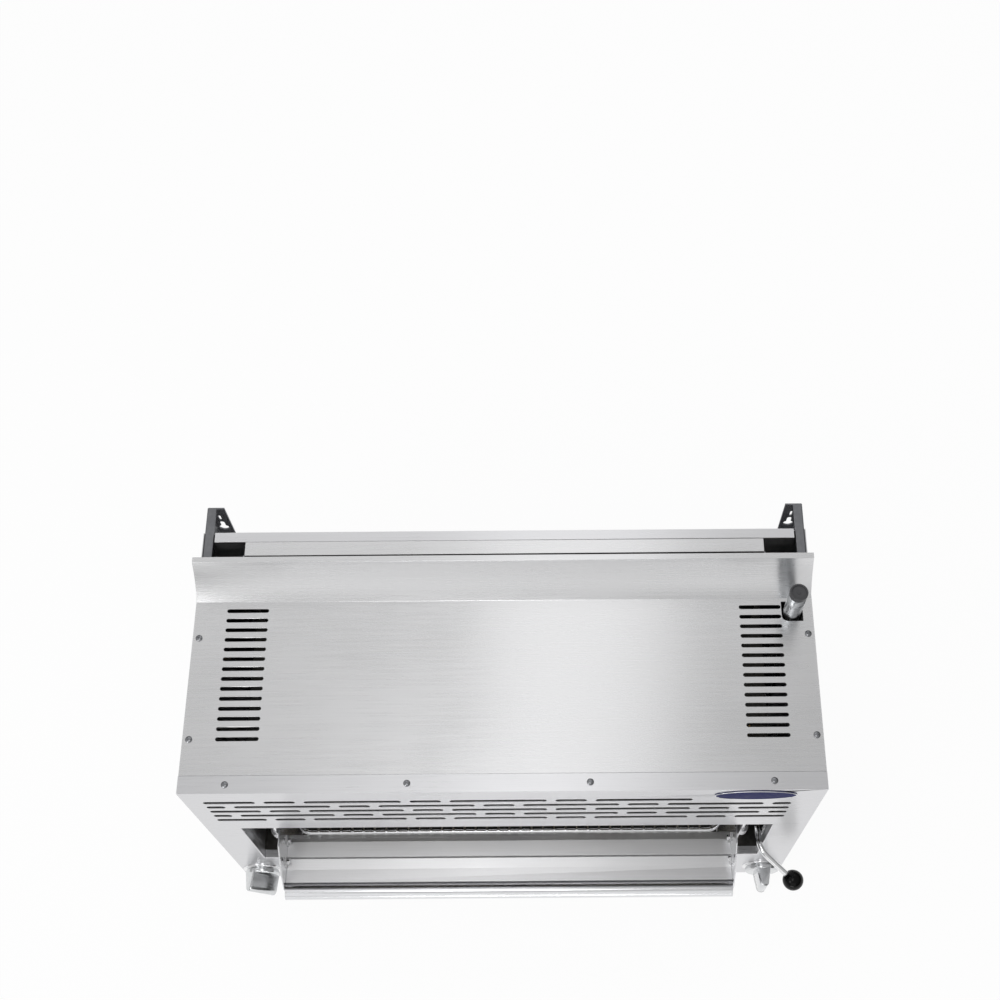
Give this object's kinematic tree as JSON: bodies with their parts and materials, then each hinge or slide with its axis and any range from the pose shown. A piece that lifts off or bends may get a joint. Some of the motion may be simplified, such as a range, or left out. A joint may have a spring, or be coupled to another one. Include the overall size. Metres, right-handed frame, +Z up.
{
  "type": "salamander grill",
  "caption": "Wall-mounted gas salamander grill: steel cabinet with louvred front, overhead infrared burners, lever-lifted rack that pulls out, drip tray and rear flue.",
  "frame": {"origin": "centre of the cabinet's underside, midway between the side panels and between the front and rear panels", "axes": "+X to the right seen from the front, +Y to the back, +Z up"},
  "size_m": [0.9237, 0.5375, 0.577],
  "materials": {
    "cover_steel": "brushed",
    "panel_steel": "brushed",
    "polished_steel": "polished",
    "zinc_steel": "satin",
    "heat_steel": "satin",
    "galvanised_pipe": "satin",
    "black_pipe": "matt",
    "badge": "gloss",
    "tile": "matt",
    "brass": "machined",
    "bronze": "machined",
    "chrome": "polished",
    "aluminium_tube": "drawn",
    "ball_plastic": "gloss",
    "plug_plastic": "satin"
  },
  "bodies": {
    "cabinet": {"base_panel": "panel_steel", "left_side_panel": "panel_steel", "right_side_panel": "panel_steel", "rear_panel": "panel_steel", "front_panel": "panel_steel", "top_cover": "cover_steel", "inner_back_wall": "cover_steel", "flue_front_wall": "heat_steel", "flue_end_plates": "cover_steel", "left_wall_rail": "zinc_steel", "right_wall_rail": "zinc_steel", "rail_bolts": "zinc_steel", "cover_screws": "chrome", "badge_plate": "badge", "cavity_floor": "heat_steel", "left_liner": "heat_steel", "right_liner": "heat_steel", "cavity_roof": "heat_steel", "heat_shield": "heat_steel", "left_burner_housing": "heat_steel", "right_burner_housing": "heat_steel", "left_burner_tiles": "tile", "right_burner_tiles": "tile", "burner_screens": "heat_steel", "burner_venturis": "heat_steel", "burner_orifices": "brass", "gas_manifold": "black_pipe", "inlet_pipe": "galvanised_pipe", "inlet_elbow": "black_pipe", "feed_pipe": "black_pipe", "gas_valves": "brass", "supply_tubes": "aluminium_tube", "pilot_burners": "brass", "pilot_tubes": "aluminium_tube", "knob_bezels": "chrome", "guide_rods": "chrome", "shaft_bearings": "bronze", "lever_quadrant": "chrome"},
    "lift": {"lift_shaft": "polished_steel", "lift_arms": "zinc_steel", "lever_rod": "chrome", "lever_ball": "ball_plastic"},
    "left_lift_roller": {"left_roller": "zinc_steel"},
    "right_lift_roller": {"right_roller": "zinc_steel"},
    "carriage": {"left_carriage_side": "panel_steel", "right_carriage_side": "panel_steel", "carriage_ties": "polished_steel"},
    "rack": {"rack_left_plate": "polished_steel", "rack_right_plate": "polished_steel", "rack_ledge": "polished_steel", "rack_apron": "panel_steel", "rack_nose_tube": "polished_steel", "rack_bolts": "chrome"},
    "grid": {"rack_grid": "chrome"},
    "tray": {"drip_tray": "panel_steel"},
    "left_gas_knob": {"left_valve_stem": "brass", "left_knob": "chrome"},
    "right_gas_knob": {"right_valve_stem": "brass", "right_knob": "chrome"},
    "plug": {"inlet_plug": "plug_plastic"}
  },
  "joints": [
    {"name": "lever_swing", "type": "hinge", "parent": "cabinet", "child": "lift", "pos_m": [0, 0.1205, 0.19], "axis": [-1, 0, 0], "range_deg": [-11.6, 5.7]},
    {"name": "carriage_rise", "type": "slide", "parent": "cabinet", "child": "carriage", "axis": [0, 0, 1], "range_m": [-0.0448, 0.0221]},
    {"name": "left_roller_spin", "type": "hinge", "parent": "lift", "child": "left_lift_roller", "pos_m": [-0.3782, -0.0995, 0.222], "axis": [1, 0, 0], "continuous": true},
    {"name": "right_roller_spin", "type": "hinge", "parent": "lift", "child": "right_lift_roller", "pos_m": [0.3782, -0.0995, 0.222], "axis": [1, 0, 0], "continuous": true},
    {"name": "rack_pull", "type": "slide", "parent": "carriage", "child": "rack", "axis": [0, -1, 0], "range_m": [0, 0.2]},
    {"name": "grid_lift_out", "type": "slide", "parent": "rack", "child": "grid", "axis": [0, 0, 1], "range_m": [0, 0.04]},
    {"name": "tray_pull", "type": "slide", "parent": "cabinet", "child": "tray", "axis": [0, -1, 0], "range_m": [0, 0.24]},
    {"name": "left_knob_turn", "type": "hinge", "parent": "cabinet", "child": "left_gas_knob", "pos_m": [-0.422, -0.2045, 0.056], "axis": [0, -1, 0], "range_deg": [-45, 45]},
    {"name": "right_knob_turn", "type": "hinge", "parent": "cabinet", "child": "right_gas_knob", "pos_m": [0.422, -0.2045, 0.056], "axis": [0, -1, 0], "range_deg": [0, 90]},
    {"name": "plug_pull", "type": "slide", "parent": "cabinet", "child": "plug", "axis": [0, 0, 1], "range_m": [0, 0.03]}
  ],
  "couplings": [
    {"joint": "carriage_rise", "follows": "lever_swing", "m_per_rad": 0.2205}
  ]
}
